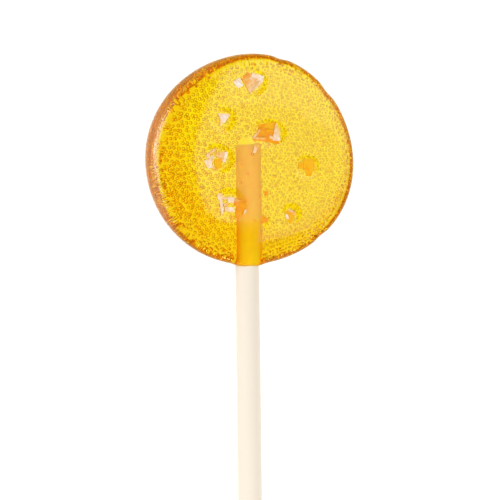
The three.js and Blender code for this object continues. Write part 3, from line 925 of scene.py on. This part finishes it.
def shards_mesh(candy):
    """All the shards as one mesh, with their tones kept as an attribute."""
    whole = bmesh.new()
    tones = []
    for seed, row in enumerate(SHARDS):
        shard = Shard(*row)
        bm = bmesh.new()
        points = shard_points(shard, candy, seed + 1)
        for point in points:
            bm.verts.new(point)
        bmesh.ops.convex_hull(bm, input=bm.verts[:])
        bmesh.ops.dissolve_limit(bm, angle_limit=math.radians(2), verts=bm.verts[:], edges=bm.edges[:])
        bmesh.ops.bevel(bm, geom=bm.edges[:], offset=SHARD_BEVEL, segments=1, affect="EDGES", profile=0.5)
        bmesh.ops.recalc_face_normals(bm, faces=bm.faces[:])
        middle = sum(points, Vector()) / len(points)
        turn = math.radians(shard.turn)
        for vert in bm.verts:
            away = vert.co - middle
            along = (away.x * math.cos(turn) + away.y * math.sin(turn)) / (shard.length * MM) + 0.5
            tones.append(blend(shard.tone, shard.end_tone, along) + (FOOT_TONE if away.z < 0 else 0.0))
        mesh = bpy.data.meshes.new("shard")
        bm.to_mesh(mesh)
        bm.free()
        whole.from_mesh(mesh)
        bpy.data.meshes.remove(mesh)
    mesh = bpy.data.meshes.new("salt_flakes")
    whole.to_mesh(mesh)
    whole.free()
    mesh.attributes.new("tone", "FLOAT", "POINT").data.foreach_set("value", tones)
    return mesh


class LOLLIPOP_OT_salt_flakes(bpy.types.Operator):
    """Build the salt flakes set in the face"""

    bl_idname = "lollipop.salt_flakes"
    bl_label = "Salt Flakes"

    def execute(self, context):
        candy = context.scene.lollipop_candy
        mesh = shards_mesh(candy)
        mesh.materials.append(salt_material(candy))
        finish_piece(new_object("salt_flakes", mesh), "salt")
        return {"FINISHED"}


def paper_material(stick):
    """Dry paper that turns to soaked paper inside the candy, with a soft painted glow there and painted
    shade on its lower sides near the rim.
    """
    mat, wire, surface = new_material("rolled_paper")
    place = wire.object_place()
    x, y, z = wire.split(place)
    soak = wire.share(y, *PAPER_SOAK_Y)
    # Painted shade: near the rim the paper's lower sides are a deeper red-orange than its top.
    rim_top_and_shaded_sides = wire.mix(wire.share(z, *PAPER_SHADE_Z), stick.side_colour, stick.honey_glow_colour)
    wet_and_glow = wire.mix(wire.share(y, *PAPER_DEEP_Y), rim_top_and_shaded_sides, stick.soaked_glow_colour)
    along = wire.node("ShaderNodeMapping", {"Vector": place, "Scale": (1.0, 0.06, 1.0)}).outputs[0]
    grain = wire.noise(along, scale=2200.0, detail=3.0)
    wire.give(surface, {
        "Base Color": wire.mix(soak, stick.paper_colour, wet_and_glow),
        "Roughness": 0.8,
        "Specular IOR Level": 0.25,
        "Subsurface Weight": soak,
        "Subsurface Radius": (1.0, 0.5, 0.15),
        "Subsurface Scale": 0.0025,
        # Painted glow: the soaked paper gives off light in its own colours, though it is no lamp.
        "Emission Color": wet_and_glow,
        "Emission Strength": wire.calc("MULTIPLY", soak, 0.36),
        "Normal": wire.bump(grain, strength=0.15, distance=0.0001),
    })
    return mat


class LOLLIPOP_OT_paper_stick(bpy.types.Operator):
    """Build the rolled paper stick"""

    bl_idname = "lollipop.paper_stick"
    bl_label = "Paper Stick"

    def execute(self, context):
        stick = context.scene.lollipop_stick
        low, high = stick.top - stick.length, stick.top
        places = []
        for i in range(STICK_LAPS):
            places.append((low + i % 2 * END_STEP, END_SHARE * (i + 1) / STICK_LAPS))
        for i in range(STICK_RINGS + 1):
            places.append((blend(low + END_ROUND, high - END_ROUND, i / STICK_RINGS), 1.0))
        for i in range(STICK_LAPS):
            places.append((high - i % 2 * END_STEP, END_SHARE * (STICK_LAPS - i) / STICK_LAPS))
        mesh = stick_mesh("paper_stick", stick, places, low, high, lap=LAP_STEP)
        shade_smooth(mesh, 30)
        mesh.materials.append(paper_material(stick))
        finish_piece(new_object("paper_stick", mesh), "paper", "stick")
        return {"FINISHED"}


def facing(right, up, back, place):
    """The pose of a light or camera from its three directions and its place."""
    pose = Matrix((right, up, back)).transposed().to_4x4()
    pose.translation = place
    return pose


def area_light(name, place, aim, size_x, size_y, brightness):
    """A soft rectangular light of a given brightness, in the same units as the floor's glow."""
    light = bpy.data.lights.new(name, "AREA")
    light.shape = "RECTANGLE"
    light.size, light.size_y = size_x, size_y
    light.energy = brightness * size_x * size_y * math.pi
    back = (Vector(place) - Vector(aim)).normalized()
    side = Vector((0, 1, 0)).cross(back).normalized()
    new_object(name, light).matrix_world = facing(side, back.cross(side), back, place)


def studio_world():
    """A white room that is dark overhead, paler towards the horizon and palest at the left and in front."""
    world = bpy.data.worlds.new("studio")
    world.use_nodes = True
    wire = Wiring(world.node_tree)
    x, y, z = wire.split(wire.node("ShaderNodeTexCoord").outputs["Generated"])
    level = wire.share(wire.calc("MULTIPLY_ADD", y, 1.2, x), -0.3, 0.7, low=0.95, high=0.35)
    glow = wire.share(z, 0.25, 0.7, low=level, high=0.03)
    wire.give(world.node_tree.nodes["Background"], {"Color": WHITE, "Strength": glow})
    return world


def place_camera(distance):
    """The camera, which stands off to the left and sees the disc where the picture has it."""
    tilt, way, roll = (math.radians(angle) for angle in (CAMERA_TILT, CAMERA_WAY, CAMERA_ROLL))
    back = Vector((math.sin(tilt) * math.cos(way), math.sin(tilt) * math.sin(way), math.cos(tilt)))
    up = (Vector((0, 1, 0)) - back * back.y).normalized()
    right = up.cross(back)
    turned_right = right * math.cos(roll) + up * math.sin(roll)
    turned_up = up * math.cos(roll) - right * math.sin(roll)
    aside, above = (PICTURE_SIDE / 2 - spot for spot in DISC_SPOT)
    target = Vector((0, 0, 0.0036)) + turned_right * aside * PIXEL - turned_up * above * PIXEL
    data = bpy.data.cameras.new("camera")
    data.sensor_width = 36.0
    data.lens = data.sensor_width / (PICTURE_SIDE * PIXEL / distance)
    data.clip_start, data.clip_end = 0.01, 20.0
    camera = new_object("camera", data)
    camera.matrix_world = facing(turned_right, turned_up, back, target + back * distance)
    return camera


class LOLLIPOP_OT_stage(bpy.types.Operator):
    """Make the floor, the lights and the camera"""

    bl_idname = "lollipop.stage"
    bl_label = "Stage"

    def execute(self, context):
        scene = context.scene
        stage = scene.lollipop_stage
        turns = ((-1, -1), (1, -1), (1, 1), (-1, 1))
        corners = [(x * FLOOR_SIDE, y * FLOOR_SIDE, FLOOR_LEVEL) for x, y in turns]
        floor = new_object("floor", mesh_from("floor", corners, [(0, 1, 2, 3)]))
        mat, wire, surface = new_material("pale_floor")
        wire.give(surface, {
            "Base Color": (0.15, 0.15, 0.15, 1),
            "Roughness": 0.9,
            "Specular IOR Level": 0.0,
            "Emission Color": (1.0, 1.0, 0.95, 1),
            "Emission Strength": stage.floor_glow,
        })
        floor.data.materials.append(mat)

        scene.world = studio_world()
        for name, x, y, z, size_x, size_y, setting in DOWN_LIGHTS:
            area_light(name, (x, y, z), (x, y, 0.0), size_x, size_y, getattr(stage, setting))
        aim = Vector((0.0, 0.0, 0.004))
        right = Vector((math.sin(RIGHT_PANEL_TILT), 0.1, math.cos(RIGHT_PANEL_TILT))) * 0.9
        area_light("right_panel", aim + right, aim, 0.45, 1.1, stage.right_light)
        area_light("front_fill", aim + Vector((0.13, -0.78, 0.61)), aim, 0.28, 0.28, stage.fill_light)

        scene.camera = place_camera(stage.camera_distance)
        scene.view_settings.view_transform = "Standard"
        scene.cycles.max_bounces = 32
        scene.cycles.transmission_bounces = 32
        scene.cycles.glossy_bounces = 16
        return {"FINISHED"}


class LOLLIPOP_PT_panel(bpy.types.Panel):
    """The lollipop's builders"""

    bl_idname = "LOLLIPOP_PT_panel"
    bl_label = "Honey Lollipop"
    bl_space_type = "VIEW_3D"
    bl_region_type = "UI"
    bl_category = "Lollipop"

    def draw(self, context):
        for operator in OPERATORS:
            self.layout.operator(operator.bl_idname)


OPERATORS = (
    LOLLIPOP_OT_candy_disc,
    LOLLIPOP_OT_bubbles,
    LOLLIPOP_OT_salt_flakes,
    LOLLIPOP_OT_paper_stick,
    LOLLIPOP_OT_stage,
)
GROUPS = {"lollipop_candy": CandySizes, "lollipop_stick": StickSizes, "lollipop_stage": StageSettings}
CLASSES = (*GROUPS.values(), *OPERATORS, LOLLIPOP_PT_panel)


def register():
    for cls in CLASSES:
        bpy.utils.register_class(cls)
    for name, group in GROUPS.items():
        setattr(bpy.types.Scene, name, bpy.props.PointerProperty(type=group))


def unregister():
    for name in GROUPS:
        delattr(bpy.types.Scene, name)
    for cls in reversed(CLASSES):
        bpy.utils.unregister_class(cls)


def main():
    register()
    bpy.ops.lollipop.candy_disc()
    bpy.ops.lollipop.bubbles()
    bpy.ops.lollipop.salt_flakes()
    bpy.ops.lollipop.paper_stick()
    bpy.ops.lollipop.stage()


if __name__ == "__main__":
    main()
